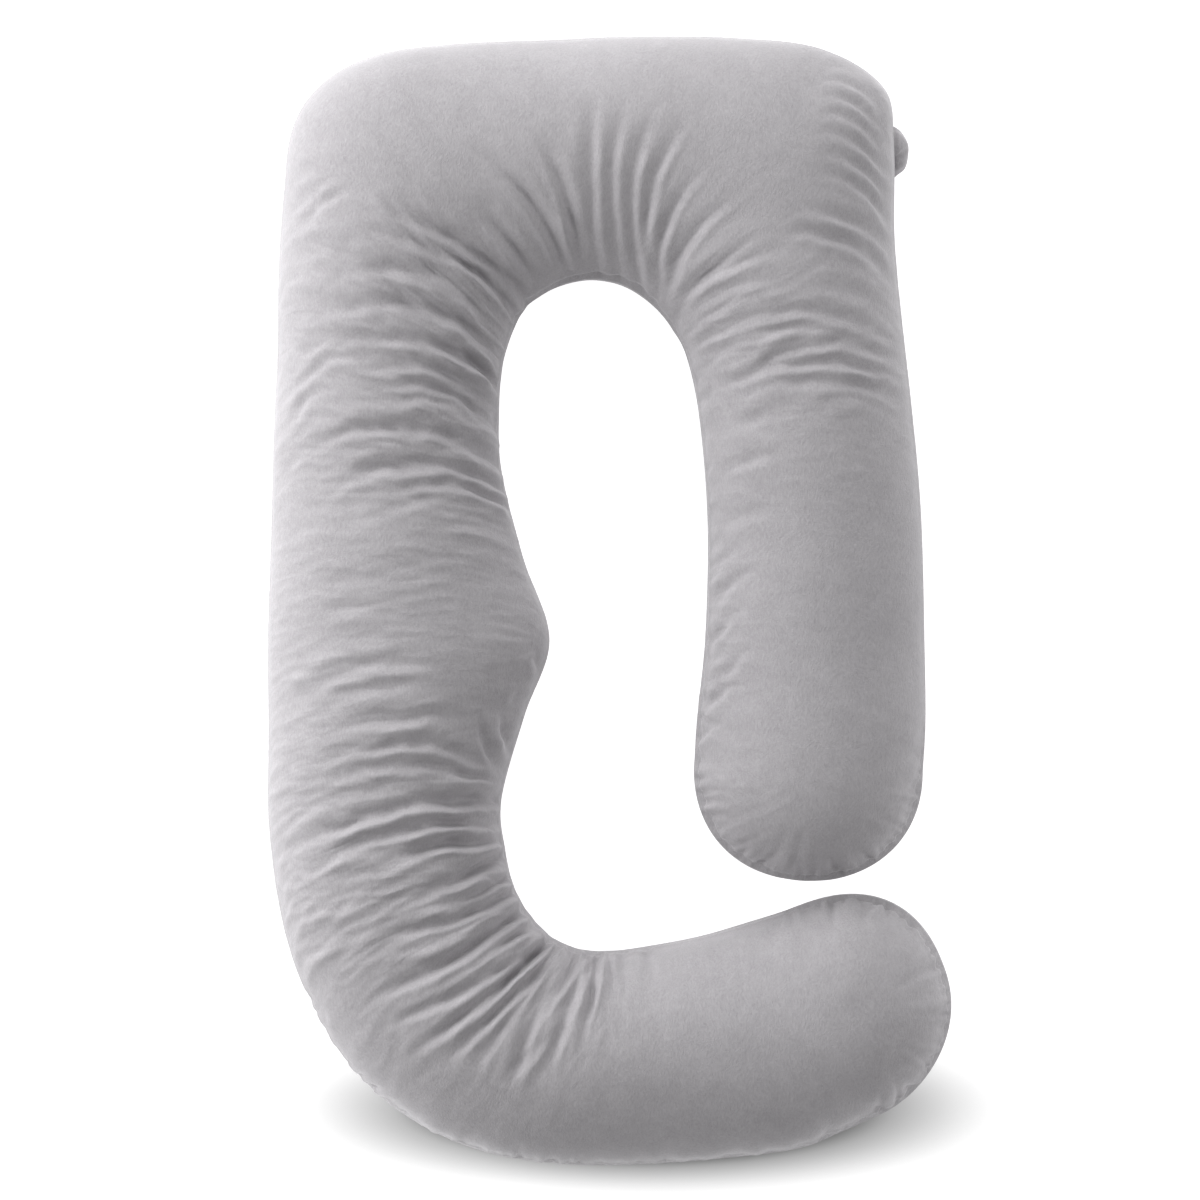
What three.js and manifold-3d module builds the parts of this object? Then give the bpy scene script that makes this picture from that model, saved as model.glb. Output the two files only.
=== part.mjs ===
// Full-body support pillow in a G shape: two plush panels sewn face to face along one edge seam, turned and filled.
// It lies on its back with its face up. Millimetres, +Z up, the origin on the floor under the middle of the outline.

import * as THREE from "three";
import { mergeVertices } from "three/addons/utils/BufferGeometryUtils.js";
import Module from "manifold-3d";

// Driving dimensions
const WIDEST_HEIGHT = 92; // height above the floor at which the filled tube is widest
const UNDER_DEPTH = 112; // how far the underside would bulge below that line without a floor
const CROWN_ROUNDNESS = 2.15; // exponent of the upper section, 2 being an ellipse
const UNDER_ROUNDNESS = 2.6; // exponent of the lower section
const SEAM_DRAW = 4; // how far the stitching pulls the side in
const FOLD_START_ANGLE = -12; // degrees above the widest line at which the face's folds begin
const FOLD_FULL_ANGLE = 28; // degrees above the widest line from which they have their full depth
const FOLD_FADE_POWER = 0.6; // how quickly a fold rises to its full depth from its ends
const SHOULDER_SHARE = 0.38; // height of the cloth pushed up beside a fold, as a share of the fold's depth
const SHOULDER_REACH = 1.9; // distance of that raised cloth from the fold, in fold widths
const SHOULDER_SPREAD = 0.9; // breadth of that raised cloth, in fold widths
const GATHER_DEPTH = 3; // depth of the small gathers that the round ends have along their seam
const GATHER_SPREAD = 16; // degrees above and below the seam over which a gather dies out
const END_STEPS = 26; // steps round each free end
const PLUSH_GREY = 0xa9a7aa;

// Rows of points up each half section, as shares of the way from the bottom centre to the seam, and on to the crown
const UNDER_ROWS = [0, 0.34, 0.62, 0.86];
const CROWN_ROWS = [0, 0.09, 0.22, 0.38, 0.55, 0.7, 0.85, 1];

// The free ends: how far each reaches past the last rib, and how square its two corners are, 2 being an ellipse
const UPPER_END = { tipX: 251, tipY: -349, outerSquareness: 2.18, innerSquareness: 2.2, seam: 15 };
const LOWER_END = { tipX: 421, tipY: -462, outerSquareness: 1.85, innerSquareness: 2.38, seam: 14 };

// The bunched tuck of cover cloth that stands out behind the upper end's shoulder
const TUCK = { x: 342, y: 563, z: 74, reachX: 36, reachY: 34, reachZ: 30, turn: 0.18, gap: 0.5 };
const TUCK_CREASE = { height: -0.34, depth: 0.16, spread: 0.2 };
const TUCK_SEGMENTS = 20;
const TUCK_RINGS = 14;

const table = (columns, rows) =>
  rows.map((row) => Object.fromEntries(columns.map((column, index) => [column, row[index]])));

// One row for each rib across the tube, from the upper free end over the arch and down the back to the lower free end:
// where it meets the outer and the inner edge, how high it is crowned, how many degrees above the widest line the
// seam lies on either side, and how many steps lead on to the next rib.
const RIBS = table(["outerX", "outerY", "innerX", "innerY", "crown", "outerSeam", "innerSeam", "steps"], [
  [391, -211, 106, -211, 204, 12, 12, 3],
  [394, -142, 111, -142, 204, 10, 8, 4],
  [393, -48, 121, -48, 203, 8, 4, 5],
  [389, 108, 124, 95, 203, 6, 2, 8],
  [379, 233, 114, 227, 204, 4, 2, 9],
  [366, 345, 98, 305, 205, 3, 3, 8],
  [356, 458, 79, 342, 207, 2, 5, 7],
  [355, 568, 60, 365, 208, 2, 8, 6],
  [342, 640, 40, 382, 208, 2, 11, 5],
  [264, 689, 19, 394, 207, 2, 13, 6],
  [158, 702, -2, 400, 206, 2, 14, 7],
  [39, 704, -24, 402, 206, 2, 14, 8],
  [-86, 700, -46, 399, 206, 2, 13, 8],
  [-199, 694, -68, 392, 207, 2, 11, 7],
  [-292, 680, -86, 382, 208, 2, 9, 6],
  [-359, 644, -104, 368, 208, 2, 7, 5],
  [-395, 588, -116, 349, 208, 2, 5, 6],
  [-406, 508, -126, 324, 208, 2, 3, 7],
  [-412, 408, -134, 292, 207, 2, 2, 8],
  [-414, 302, -138, 239, 207, 2, 2, 10],
  [-418, 177, -135, 164, 208, 2, 2, 10],
  [-422, 52, -108, 55, 212, 2, 2, 6],
  [-425, -55, -75, -48, 216, 2, 3, 8],
  [-425, -167, -106, -143, 212, 2, 2, 11],
  [-424, -280, -135, -248, 208, 2, 2, 10],
  [-410, -386, -130, -313, 208, 2, 2, 9],
  [-380, -482, -119, -358, 209, 2, 3, 9],
  [-329, -573, -99, -393, 210, 3, 4, 9],
  [-255, -641, -71, -421, 210, 5, 4, 9],
  [-161, -685, -36, -436, 209, 6, 4, 8],
  [-55, -702, 4, -438, 208, 6, 3, 6],
  [51, -702, 45, -433, 207, 6, 2, 4],
  [158, -693, 114, -420, 206, 7, 2, 4],
  [239, -681, 182, -400, 205, 10, 3, 3],
  [289, -662, 214, -390, 205, 11, 4, 2],
  [332, -643, 241, -380, 205, 13, 8, 0],
]);

// One row for each main fold of the face: where it starts and ends in plan, how far it bows to its left on the way,
// how deep it is, and its half width.
const FOLDS = table(["fromX", "fromY", "toX", "toY", "bow", "depth", "width"], [
  // Arch, left of the middle
  [-19, 630, -12, 478, -5, 6, 10],
  [-80, 555, -15, 415, -2, 9, 10],
  [-175, 560, -50, 400, 17, 8, 10],
  [-155, 484, -88, 398, 5, 5, 9],
  [-270, 484, -92, 378, 10, 8, 10],
  [-335, 405, -150, 345, 25, 4.5, 10],
  [-335, 362, -138, 303, 30, 7, 10],
  [-345, 322, -192, 303, 16, 5, 10],
  // Arch, right of the middle
  [15, 412, 32, 605, 16, 5.5, 9],
  [32, 418, 64, 596, 19, 6, 9],
  [38, 470, 98, 594, 8, 6.5, 9],
  [45, 396, 88, 520, 12, 4.5, 9],
  [90, 378, 205, 452, 11, 5, 9],
  // Shoulder and upper end
  [285, 658, 345, 612, 5, 5, 9],
  [292, 622, 350, 562, 7, 4, 9],
  [248, 450, 352, 400, 9, 4, 10],
  [185, 343, 345, 322, 17, 4.5, 10],
  [175, 322, 295, 332, 6, 4, 9],
  [185, 296, 352, 298, 14, 6, 9],
  [142, 263, 325, 278, 16, 6.5, 9],
  [195, 260, 315, 261, 4, 4, 9],
  // Back, upper half
  [-365, 278, -148, 256, 21, 6, 9],
  [-295, 260, -150, 232, 15, 5, 9],
  [-385, 176, -138, 174, 30, 8, 10],
  [-330, 140, -132, 138, 27, 8, 9],
  [-270, 128, -138, 110, 12, 5.5, 9],
  // Back, lower half
  [-395, -132, -228, -78, 14, 6, 10],
  [-345, -167, -190, -147, 10, 5, 9],
  [-345, -196, -160, -194, 18, 6.5, 9],
  [-335, -217, -148, -212, 9, 5.5, 9],
  [-380, -320, -125, -243, 23, 9, 10],
  [-370, -344, -155, -265, 14, 8, 9],
  [-315, -346, -118, -300, 18, 7, 9],
  // Lower bend
  [-275, -374, -145, -331, 0, 7, 9],
  [-325, -440, -125, -361, 7, 8, 9],
  [-280, -482, -105, -383, -5, 9, 9],
  [-240, -553, -125, -450, -3, 6, 9],
  [-168, -512, -50, -398, -2, 11, 9],
  [-205, -565, -130, -484, -2, 6, 9],
  [-138, -580, -80, -492, 0, 5, 9],
  [-88, -580, -48, -475, -4, 6.5, 9],
  [-42, -528, -20, -440, -4, 5.5, 9],
]);

const smoothCurve = (points) => new THREE.CatmullRomCurve3(points, false, "catmullrom", 0.5);
const outerEdge = smoothCurve(RIBS.map((rib) => new THREE.Vector3(rib.outerX, rib.outerY, rib.outerSeam)));
const innerEdge = smoothCurve(RIBS.map((rib) => new THREE.Vector3(rib.innerX, rib.innerY, rib.innerSeam)));
const crownLine = smoothCurve(RIBS.map((rib) => new THREE.Vector3(rib.crown, 0, 0)));

// Every rib that the solid has, the table's own and the steps between them
function allRibs() {
  const ribs = [];
  RIBS.forEach(({ steps }, index) => {
    const count = index === RIBS.length - 1 ? 1 : steps;
    for (let step = 0; step < count; step += 1) {
      const place = (index + step / count) / (RIBS.length - 1);
      const outer = outerEdge.getPoint(place);
      const inner = innerEdge.getPoint(place);
      const spineX = (outer.x + inner.x) / 2;
      const spineY = (outer.y + inner.y) / 2;
      ribs.push({ outer, inner, spineX, spineY, crown: crownLine.getPoint(place).x });
    }
  });
  return ribs;
}

const sideStation = ({ spineX, spineY, crown }, edge) =>
  ({ spineX, spineY, crown, edgeX: edge.x, edgeY: edge.y, seam: edge.z, gathered: false });

// Stations round a free end, from one edge of its last rib to the other, the corners rounded as the end's table says
function endStations({ spineX, spineY, crown }, from, to, fromSquareness, toSquareness, end) {
  const stations = [];
  for (let step = 1; step < END_STEPS; step += 1) {
    const turn = (step / END_STEPS) * Math.PI;
    const first = turn <= Math.PI / 2;
    const side = first ? from : to;
    const power = 2 / (first ? fromSquareness : toSquareness);
    const forward = Math.sin(turn) ** power;
    const sideways = Math.abs(Math.cos(turn)) ** power;
    const edgeX = spineX + (end.tipX - spineX) * forward + (side.x - spineX) * sideways;
    const edgeY = spineY + (end.tipY - spineY) * forward + (side.y - spineY) * sideways;
    const seam = THREE.MathUtils.lerp(side.z, end.seam, forward);
    stations.push({ spineX, spineY, crown, edgeX, edgeY, seam, gathered: step % 2 === 1 });
  }
  return stations;
}

// The whole seam, once round: along the outer edge, round the lower end, back along the inner edge, round the upper end
function seamStations() {
  const ribs = allRibs();
  const first = ribs[0];
  const last = ribs[ribs.length - 1];
  const lower = LOWER_END;
  const upper = UPPER_END;
  return [
    ...ribs.map((rib) => sideStation(rib, rib.outer)),
    ...endStations(last, last.outer, last.inner, lower.outerSquareness, lower.innerSquareness, lower),
    ...ribs.map((rib) => sideStation(rib, rib.inner)).reverse(),
    ...endStations(first, first.inner, first.outer, upper.innerSquareness, upper.outerSquareness, upper),
  ];
}

// Height of the folded cloth over the smooth form at a point in plan: each fold is a trough between raised shoulders
function foldHeight(x, y) {
  let height = 0;
  for (const { fromX, fromY, toX, toY, bow, depth, width } of FOLDS) {
    const runX = toX - fromX;
    const runY = toY - fromY;
    const length = Math.hypot(runX, runY);
    const along = ((x - fromX) * runX + (y - fromY) * runY) / (length * length);
    if (along > 0 && along < 1) {
      const aside = ((y - fromY) * runX - (x - fromX) * runY) / length - bow * 4 * along * (1 - along);
      const reach = Math.abs(aside) / width;
      const fade = Math.sin(Math.PI * along) ** FOLD_FADE_POWER;
      const trough = Math.exp(-(reach ** 2));
      const shoulder = SHOULDER_SHARE * Math.exp(-(((reach - SHOULDER_REACH) / SHOULDER_SPREAD) ** 2));
      height -= depth * fade * (trough - shoulder);
    }
  }
  return height;
}

// The angles of a half section's rows, in degrees, from straight down at -90 to straight up at 90
function rowAngles(seam) {
  const under = UNDER_ROWS.map((share) => THREE.MathUtils.lerp(-90, seam, share));
  const over = CROWN_ROWS.map((share) => THREE.MathUtils.lerp(seam, 90, share));
  return [...under, ...over];
}

// One point of the cover, with the cloth moved out or in along the surface by folds, seam, gathers and growth
function coverPoint(station, angle, grow) {
  const { spineX, spineY, edgeX, edgeY, crown, seam, gathered } = station;
  const over = angle >= 0;
  const power = 2 / (over ? CROWN_ROUNDNESS : UNDER_ROUNDNESS);
  const rise = over ? crown - WIDEST_HEIGHT : UNDER_DEPTH;
  const radians = THREE.MathUtils.degToRad(angle);
  const outward = Math.max(Math.cos(radians), 0) ** power;
  const upward = Math.sign(radians) * Math.abs(Math.sin(radians)) ** power;
  const halfWidth = Math.hypot(edgeX - spineX, edgeY - spineY);
  const normalOut = outward ** (2 / power - 1) / halfWidth;
  const normalUp = (Math.sign(upward) * Math.abs(upward) ** (2 / power - 1)) / rise;
  const normalSize = Math.hypot(normalOut, normalUp);
  const x = spineX + (edgeX - spineX) * outward;
  const y = spineY + (edgeY - spineY) * outward;
  const z = WIDEST_HEIGHT + rise * upward;
  const faceShare = THREE.MathUtils.smoothstep(angle, FOLD_START_ANGLE, FOLD_FULL_ANGLE);
  const seamShare = angle === seam ? 1 : 0;
  const gatherShare = gathered ? Math.exp(-(((angle - seam) / GATHER_SPREAD) ** 2)) : 0;
  const move = grow + foldHeight(x, y) * faceShare - SEAM_DRAW * seamShare - GATHER_DEPTH * gatherShare;
  const moveOut = ((move * normalOut) / normalSize) / halfWidth;
  return [
    x + (edgeX - spineX) * moveOut,
    y + (edgeY - spineY) * moveOut,
    Math.max(z + (move * normalUp) / normalSize, -grow),
  ];
}

// The filled cover as one closed surface: half sections side by side all along the seam, meeting on the spine
function cushionGeometry(grow) {
  const stations = seamStations();
  const rows = UNDER_ROWS.length + CROWN_ROWS.length;
  const positions = [];
  for (const station of stations) {
    for (const angle of rowAngles(station.seam)) positions.push(...coverPoint(station, angle, grow));
  }
  const triangles = [];
  stations.forEach((station, index) => {
    const here = index * rows;
    const next = ((index + 1) % stations.length) * rows;
    for (let row = 0; row < rows - 1; row += 1) {
      triangles.push(here + row, next + row + 1, here + row + 1);
      triangles.push(here + row, next + row, next + row + 1);
    }
  });
  return closedGeometry(positions, triangles);
}

// A geometry with shared vertices, without the triangles that shrink to a line where sections meet
function closedGeometry(positions, triangles) {
  const loose = new THREE.BufferGeometry();
  loose.setAttribute("position", new THREE.Float32BufferAttribute(positions, 3));
  loose.setIndex(triangles);
  const merged = mergeVertices(loose, 1e-3);
  const index = merged.getIndex().array;
  const kept = [];
  for (let corner = 0; corner < index.length; corner += 3) {
    const [a, b, c] = index.slice(corner, corner + 3);
    if (a !== b && b !== c && c !== a) kept.push(a, b, c);
  }
  merged.setIndex(kept);
  merged.computeVertexNormals();
  return merged;
}

const wasm = await Module();
wasm.setup();

const solidOf = (geometry) => new wasm.Manifold(new wasm.Mesh({
  numProp: 3,
  vertProperties: new Float32Array(geometry.getAttribute("position").array),
  triVerts: new Uint32Array(geometry.getIndex().array),
}));

// The tuck: a bunched ball of cloth with one crease across it, cut back where the pillow's side stands in front of it
function tuckGeometry() {
  const ball = new THREE.SphereGeometry(1, TUCK_SEGMENTS, TUCK_RINGS);
  const place = ball.getAttribute("position");
  for (let index = 0; index < place.count; index += 1) {
    const across = (place.getY(index) - TUCK_CREASE.height) / TUCK_CREASE.spread;
    const size = 1 - TUCK_CREASE.depth * Math.exp(-(across ** 2));
    place.setXYZ(index, place.getX(index) * size, place.getY(index), place.getZ(index) * size);
  }
  ball.scale(TUCK.reachX, TUCK.reachY, TUCK.reachZ);
  ball.rotateZ(TUCK.turn);
  ball.translate(TUCK.x, TUCK.y, TUCK.z);
  const bunch = solidOf(closedGeometry(ball.getAttribute("position").array, [...ball.getIndex().array]));
  const cut = bunch.subtract(solidOf(cushionGeometry(TUCK.gap))).getMesh();
  return closedGeometry(cut.vertProperties, [...cut.triVerts]);
}

const plush = () => new THREE.MeshStandardMaterial({ color: PLUSH_GREY, roughness: 0.9, metalness: 0 });

const pillow = new THREE.Mesh(cushionGeometry(0), plush());
pillow.name = "pillow";

const shoulderTuck = new THREE.Mesh(tuckGeometry(), plush());
shoulderTuck.name = "shoulder_tuck";

const part = new THREE.Group();
part.add(pillow, shoulderTuck);

export default part;
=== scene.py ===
import bmesh
import bpy
import math
import numpy as np
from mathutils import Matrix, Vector


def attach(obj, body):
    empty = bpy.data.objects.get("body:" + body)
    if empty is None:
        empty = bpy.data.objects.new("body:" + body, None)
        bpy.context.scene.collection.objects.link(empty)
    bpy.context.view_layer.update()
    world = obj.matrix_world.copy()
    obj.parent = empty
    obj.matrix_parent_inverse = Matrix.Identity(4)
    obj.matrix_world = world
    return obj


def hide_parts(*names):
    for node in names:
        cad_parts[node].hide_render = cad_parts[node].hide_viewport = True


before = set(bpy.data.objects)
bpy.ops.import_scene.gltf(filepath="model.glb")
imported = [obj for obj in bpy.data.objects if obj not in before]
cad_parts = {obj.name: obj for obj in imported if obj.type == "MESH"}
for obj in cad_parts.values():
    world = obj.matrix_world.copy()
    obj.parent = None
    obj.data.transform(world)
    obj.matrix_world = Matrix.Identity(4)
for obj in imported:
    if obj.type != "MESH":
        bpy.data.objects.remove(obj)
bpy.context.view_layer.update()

# Floor, light and camera
# The pillow lies on its back on a plain pale floor, with a shadow painted on it round the pillow's foot. The
# camera looks straight down at its face. Large soft lights stand on the left, beyond the head and on the
# right, and a pale surround, dimmer towards the foot, fills the shadows. Sizes here are in metres.
FLOOR_REACH = 14.0
FLOOR_WHITE = 0.4
FLOOR_ROUGHNESS = 0.9
FLOOR_SPECULAR = 0.1
FLOOR_GLOW = 0.95
# Painted shadow round the pillow's foot: its middle and reach, the glow it drops to, and the darker base
# colour at the contact.
PAINTED_SHADOW_MIDDLE = (0.045, -0.646, 0.0)
PAINTED_SHADOW_REACH = (0.45, 0.108, 1.0)
PAINTED_SHADOW_LEAST_GLOW = 0.04
OPEN_GLOW = 1.0
PAINTED_SHADOW_GLOW_RISE = (0.5, 1.18)
PAINTED_CONTACT_SHADOW_WHITE = 0.14
PAINTED_CONTACT_SHADOW_RISE = (0.58, 0.72)
SURROUND_COLOUR = (1.0, 1.0, 1.0, 1.0)
SURROUND_STRENGTH = 0.505
SURROUND_FOOT = 0.3
LEFT_LIGHT = {"place": Vector((-3.65, 0.5, 1.35)), "size": 2.4, "power": 156.0}
HEAD_LIGHT = {"place": Vector((-0.6, 3.65, 1.4)), "size": 2.4, "power": 97.0}
RIGHT_LIGHT = {"place": Vector((2.6, -0.3, 1.5)), "size": 2.2, "power": 22.0}
CAMERA_PLACE = Vector((-0.01125, 0.00156, 5.095))
CAMERA_LENS = 120.0


class Shade:
    """One value in a node tree: operators on it add Math nodes, and node() adds any other node."""

    def __init__(self, tree, socket=None):
        self.tree = tree
        self.socket = socket

    def node(self, kind, settings, inputs, output=0):
        made = self.tree.nodes.new(kind)
        for name, value in settings.items():
            setattr(made, name, value)
        for name, value in inputs.items():
            if isinstance(value, Shade):
                self.tree.links.new(value.socket, made.inputs[name])
            else:
                made.inputs[name].default_value = value
        return Shade(self.tree, made.outputs[output])

    def math(self, operation, first, second):
        return self.node("ShaderNodeMath", {"operation": operation}, {0: first, 1: second})

    def __add__(self, other):
        return self.math("ADD", self, other)

    def __sub__(self, other):
        return self.math("SUBTRACT", self, other)

    def __rsub__(self, other):
        return self.math("SUBTRACT", other, self)

    def __mul__(self, other):
        return self.math("MULTIPLY", self, other)

    __radd__ = __add__
    __rmul__ = __mul__


def new_material(name):
    """An empty material, its node tree as a Shade, and its output node."""
    material = bpy.data.materials.new(name)
    material.use_nodes = True
    material.node_tree.nodes.clear()
    output = material.node_tree.nodes.new("ShaderNodeOutputMaterial")
    return material, Shade(material.node_tree), output


def pale_floor_painted_shadow():
    """A pale floor that glows, with a shadow painted round the pillow's foot: darker and with less glow
    there.
    """
    material, shade, output = new_material("pale_floor_painted_shadow")
    place = shade.node("ShaderNodeTexCoord", {}, {}, "Object")
    from_painted_shadow = shade.node("ShaderNodeMapping", {"vector_type": "TEXTURE"}, {
        "Vector": place, "Location": PAINTED_SHADOW_MIDDLE, "Scale": PAINTED_SHADOW_REACH})
    distance = shade.node("ShaderNodeVectorMath", {"operation": "LENGTH"}, {0: from_painted_shadow}, "Value")

    def grey_by_distance(rise, near, far):
        level = shade.node("ShaderNodeMapRange", {"interpolation_type": "SMOOTHSTEP"}, {
            "Value": distance, "From Min": rise[0], "From Max": rise[1], "To Min": near, "To Max": far})
        return shade.node("ShaderNodeCombineColor", {}, {"Red": level, "Green": level, "Blue": level})

    # Base colour and glow both grey with distance from the foot: a painted shadow, darkest at the contact.
    finish = shade.node("ShaderNodeBsdfPrincipled", {}, {
        "Base Color": grey_by_distance(PAINTED_CONTACT_SHADOW_RISE, PAINTED_CONTACT_SHADOW_WHITE, FLOOR_WHITE),
        "Roughness": FLOOR_ROUGHNESS,
        "Specular IOR Level": FLOOR_SPECULAR,
        "Emission Color": grey_by_distance(PAINTED_SHADOW_GLOW_RISE, PAINTED_SHADOW_LEAST_GLOW, OPEN_GLOW),
        "Emission Strength": FLOOR_GLOW,
    })
    shade.tree.links.new(finish.socket, output.inputs["Surface"])
    return material


def place_object(name, mesh_or_light):
    """A new object at the origin."""
    piece = bpy.data.objects.new(name, mesh_or_light)
    bpy.context.scene.collection.objects.link(piece)
    return piece


def soft_light(name, place, size, power):
    """A square area light that faces the middle of the pillow."""
    light = bpy.data.lights.new(name, "AREA")
    light.size = size
    light.energy = power
    lamp = place_object(name, light)
    lamp.location = place
    lamp.rotation_euler = (-place).to_track_quat("-Z", "Y").to_euler()


floor_shape = bmesh.new()
bmesh.ops.create_grid(floor_shape, x_segments=1, y_segments=1, size=FLOOR_REACH)
floor_mesh = bpy.data.meshes.new("floor")
floor_shape.to_mesh(floor_mesh)
floor_shape.free()
floor_mesh.materials.append(pale_floor_painted_shadow())
place_object("floor", floor_mesh)

soft_light("left_light", **LEFT_LIGHT)
soft_light("head_light", **HEAD_LIGHT)
soft_light("right_light", **RIGHT_LIGHT)

surround = bpy.data.worlds.new("surround")
surround.use_nodes = True
background = surround.node_tree.nodes["Background"]
background.inputs["Color"].default_value = SURROUND_COLOUR
surround_shade = Shade(surround.node_tree)
heading = surround_shade.node("ShaderNodeTexCoord", {}, {}, "Generated")
towards_head = surround_shade.node("ShaderNodeSeparateXYZ", {}, {"Vector": heading}, "Y")
brightness = surround_shade.node("ShaderNodeMapRange", {}, {
    "Value": towards_head,
    "From Min": -1.0,
    "From Max": 0.0,
    "To Min": SURROUND_FOOT * SURROUND_STRENGTH,
    "To Max": SURROUND_STRENGTH,
})
surround.node_tree.links.new(brightness.socket, background.inputs["Strength"])
bpy.context.scene.world = surround
bpy.context.scene.view_settings.view_transform = "Standard"

lens = bpy.data.cameras.new("camera")
lens.lens = CAMERA_LENS
camera = place_object("camera", lens)
camera.location = CAMERA_PLACE
bpy.context.scene.camera = camera

# The pillow
# Two plush panels cut to the same G outline, sewn face to face along one seam, turned and filled. The cover
# is a grid, a column for each place along the seam and a row for each step up the half section there. It is
# folded and then settled by a short cloth simulation. Tables are in millimetres, and the mesh is in metres.
MM = 0.001
WIDEST_HEIGHT = 92.0
UNDER_DEPTH = 112.0
CROWN_ROUNDNESS = 2.15
UNDER_ROUNDNESS = 2.6
SIDE_COLUMNS = 830
END_COLUMNS = 125
UNDER_ROWS = 6
CROWN_ROWS = 46
UNDER_CROWDING = 1.7
CROWN_CROWDING = 1.3

# Ribs across the tube, from the upper free end over the arch and down the back to the lower free end
RIB_COLUMNS = ("outer_x", "outer_y", "inner_x", "inner_y", "crown", "outer_seam", "inner_seam")
RIBS = np.array([
    (391, -211, 106, -211, 204, 12, 12),
    (394, -142, 111, -142, 204, 10, 8),
    (393, -48, 121, -48, 203, 8, 4),
    (389, 108, 124, 95, 203, 6, 2),
    (379, 233, 114, 227, 204, 4, 2),
    (366, 345, 98, 305, 205, 3, 3),
    (356, 458, 79, 342, 207, 2, 5),
    (355, 568, 60, 365, 208, 2, 8),
    (342, 640, 40, 382, 208, 2, 11),
    (264, 689, 19, 394, 207, 2, 13),
    (158, 702, -2, 400, 206, 2, 14),
    (39, 704, -24, 402, 206, 2, 14),
    (-86, 700, -46, 399, 206, 2, 13),
    (-199, 694, -68, 392, 207, 2, 11),
    (-292, 680, -86, 382, 208, 2, 9),
    (-359, 644, -104, 368, 208, 2, 7),
    (-395, 588, -116, 349, 208, 2, 5),
    (-406, 508, -126, 324, 208, 2, 3),
    (-412, 408, -134, 292, 207, 2, 2),
    (-414, 302, -138, 239, 207, 2, 2),
    (-418, 177, -135, 164, 208, 2, 2),
    (-422, 52, -108, 55, 212, 2, 2),
    (-425, -55, -75, -48, 216, 2, 3),
    (-425, -167, -106, -143, 212, 2, 2),
    (-424, -280, -135, -248, 208, 2, 2),
    (-410, -386, -130, -313, 208, 2, 2),
    (-380, -482, -119, -358, 209, 2, 3),
    (-329, -573, -99, -393, 210, 3, 4),
    (-255, -641, -71, -421, 210, 5, 4),
    (-161, -685, -36, -436, 209, 6, 4),
    (-55, -702, 4, -438, 208, 6, 3),
    (51, -702, 45, -433, 207, 6, 2),
    (158, -693, 114, -420, 206, 7, 2),
    (239, -681, 182, -400, 205, 10, 3),
    (289, -662, 214, -390, 205, 11, 4),
    (332, -643, 241, -380, 205, 13, 8),
], float)
LAST_RIB = len(RIBS) - 1
PLACE_SAMPLES = 6000
FINENESS_RIBS = (0, 3, 4, 5.5, 6.5, 9.5, 10.5, 31, 32, 35)
FINENESS = (0.7, 0.7, 1.0, 1.0, 1.4, 1.4, 1.0, 1.0, 0.5, 0.5)
UPPER_END = {
    "tip": (251, -349), "outer_squareness": 2.18, "inner_squareness": 2.2, "seam": 17.5, "heading": -1}
LOWER_END = {
    "tip": (421, -462), "outer_squareness": 1.85, "inner_squareness": 2.38, "seam": 17, "heading": 1}


def rib_values(place):
    """The ribs' columns at fractional rib numbers, on smooth curves through the table's rows."""
    padded = np.vstack([2 * RIBS[0] - RIBS[1], RIBS, 2 * RIBS[-1] - RIBS[-2]])
    row = np.minimum(place.astype(int), LAST_RIB - 1)
    step = (place - row)[:, None]
    before, start, stop, after = (padded[row + offset] for offset in range(4))
    bend = 2 * before - 5 * start + 4 * stop - after
    twist = 3 * start - before - 3 * stop + after
    values = 0.5 * (2 * start + (stop - before) * step + bend * step ** 2 + twist * step ** 3)
    return dict(zip(RIB_COLUMNS, values.T))


def even_places(count):
    """Rib numbers a step apart along the middle of the two edges, with longer steps over smooth cloth."""
    fine = np.linspace(0, LAST_RIB, PLACE_SAMPLES)
    rib = rib_values(fine)
    outer_run = np.hypot(np.diff(rib["outer_x"]), np.diff(rib["outer_y"]))
    inner_run = np.hypot(np.diff(rib["inner_x"]), np.diff(rib["inner_y"]))
    fineness = np.interp(fine[:-1], FINENESS_RIBS, FINENESS)
    run = np.concatenate([[0], np.cumsum((outer_run + inner_run) * fineness)])
    return np.interp(np.linspace(0, run[-1], count), run, fine)


def side_stations(side):
    """Stations along one side: spine, edge and section there, and how far along the tube it is."""
    return {
        "spine_x": spine_x,
        "spine_y": spine_y,
        "edge_x": rib[side + "_x"],
        "edge_y": rib[side + "_y"],
        "crown": rib["crown"],
        "seam": rib[side + "_seam"],
        "rib": places,
        "run": spine_run,
        "side": np.full(SIDE_COLUMNS, -1.0 if side == "outer" else 1.0),
        "ahead": np.zeros(SIDE_COLUMNS),
    }


def end_stations(start, stop, squareness, end):
    """Stations round a free end, between the last station of one side and the first of the other."""
    turn = np.linspace(0, math.pi, END_COLUMNS + 1)[1:-1]
    first = turn <= math.pi / 2
    power = 2 / np.where(first, squareness[0], squareness[1])
    forward = np.sin(turn) ** power
    sideways = np.abs(np.cos(turn)) ** power
    station = {name: np.where(first, start[name], stop[name]) for name in start}
    tip_x = end["tip"][0] - station["spine_x"]
    tip_y = end["tip"][1] - station["spine_y"]
    side_x = station["edge_x"] - station["spine_x"]
    side_y = station["edge_y"] - station["spine_y"]
    station["edge_x"] = station["spine_x"] + tip_x * forward + side_x * sideways
    station["edge_y"] = station["spine_y"] + tip_y * forward + side_y * sideways
    station["seam"] = station["seam"] + (end["seam"] - station["seam"]) * forward
    station["side"] = station["side"] * sideways
    station["ahead"] = end["heading"] * np.hypot(tip_x, tip_y) * forward
    return station


def at(stations, index):
    """One station of many."""
    return {name: values[index] for name, values in stations.items()}


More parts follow.
